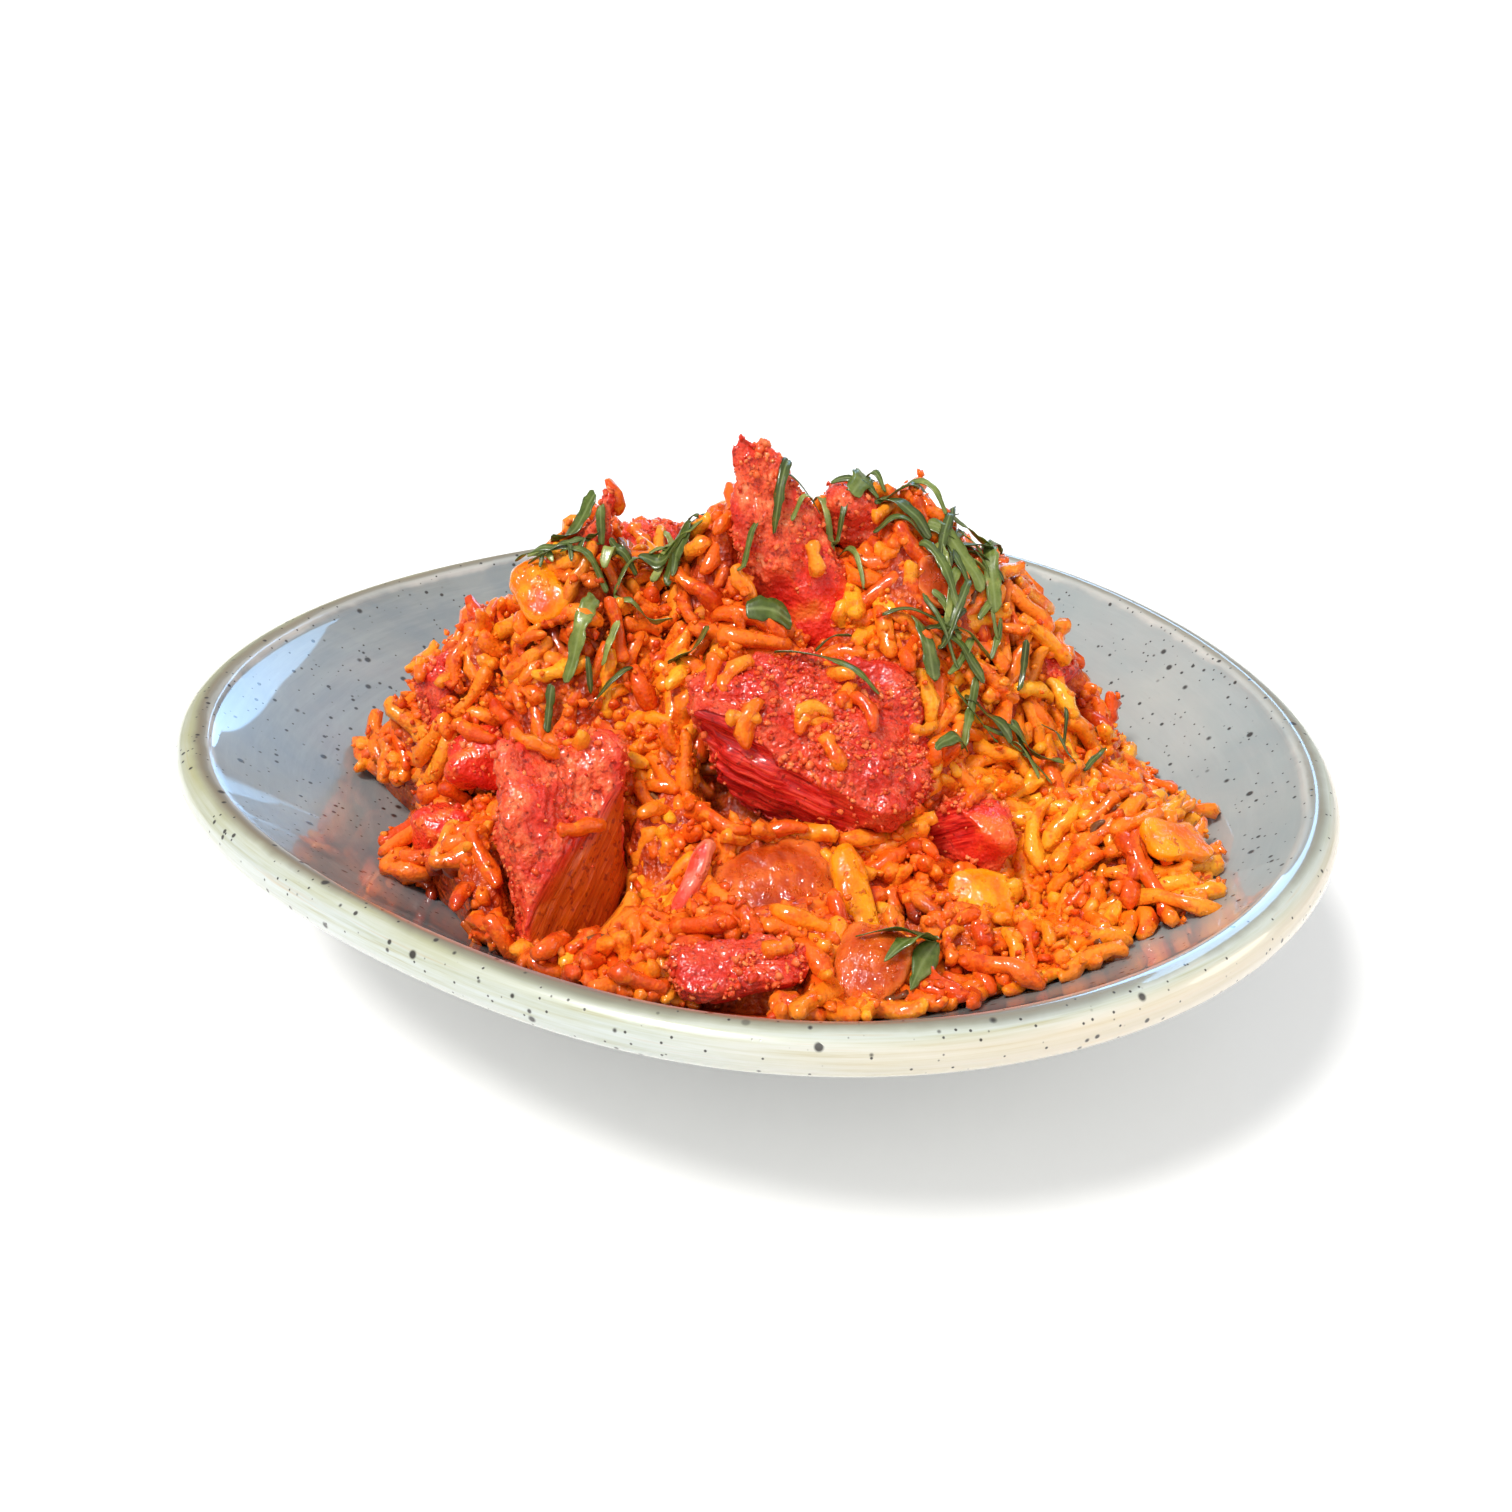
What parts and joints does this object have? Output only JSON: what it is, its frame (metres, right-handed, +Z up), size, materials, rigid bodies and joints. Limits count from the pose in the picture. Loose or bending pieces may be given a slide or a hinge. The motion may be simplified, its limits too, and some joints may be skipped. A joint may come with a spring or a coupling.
{
  "type": "chicken biryani in a bowl",
  "caption": "Heap of spiced long-grain rice with tandoori chicken, onion, sweet pepper and herb shreds in a wide, softly three-cornered glazed stoneware bowl.",
  "frame": {"origin": "centre of the bowl's outline, on the surface that the bowl stands on", "axes": "+Z up; the eater sits on the -Y side and +X is to the eater's right"},
  "size_m": [0.2188, 0.2028, 0.1036],
  "materials": {
    "glazed_stoneware": "gloss glaze, grey-blue with brown specks, pale green-white rim",
    "spiced_rice": "moist, oily sheen",
    "tandoori_chicken": "moist, fibrous",
    "cooked_onion": "translucent, wet",
    "sweet_pepper": "wet",
    "fresh_herb": "satin leaf"
  },
  "bodies": {
    "root": {"bowl": "glazed_stoneware", "chicken_back_right": "tandoori_chicken", "chicken_centre": "tandoori_chicken", "chicken_crest": "tandoori_chicken", "chicken_front": "tandoori_chicken", "chicken_left_glossy": "tandoori_chicken", "chicken_left_lower": "tandoori_chicken", "chicken_left_upper": "tandoori_chicken", "chicken_lower_right": "tandoori_chicken", "chicken_peak": "tandoori_chicken", "chicken_rear_left": "tandoori_chicken", "chicken_rear_right": "tandoori_chicken", "chicken_tip": "tandoori_chicken", "chicken_wedge": "tandoori_chicken", "herb_centre_strip": "fresh_herb", "herb_front_leaf": "fresh_herb", "herb_left_bent": "fresh_herb", "herb_left_cluster_a": "fresh_herb", "herb_left_cluster_b": "fresh_herb", "herb_left_long": "fresh_herb", "herb_mid_left": "fresh_herb", "herb_peak_leaf": "fresh_herb", "herb_rear_a": "fresh_herb", "herb_rear_b": "fresh_herb", "herb_right_cluster_a": "fresh_herb", "herb_right_cluster_b": "fresh_herb", "herb_right_cluster_c": "fresh_herb", "herb_right_mid_a": "fresh_herb", "herb_right_mid_b": "fresh_herb", "herb_right_mid_c": "fresh_herb", "herb_right_strip": "fresh_herb", "herb_top_a": "fresh_herb", "herb_top_b": "fresh_herb", "onion_curl": "cooked_onion", "onion_front": "cooked_onion", "onion_petal": "cooked_onion", "pepper_flap": "sweet_pepper", "pepper_pink": "sweet_pepper", "pepper_rear": "sweet_pepper", "pepper_strip": "sweet_pepper", "pepper_top_left": "sweet_pepper", "pepper_triangle": "sweet_pepper", "rice": "spiced_rice"}
  },
  "joints": []
}
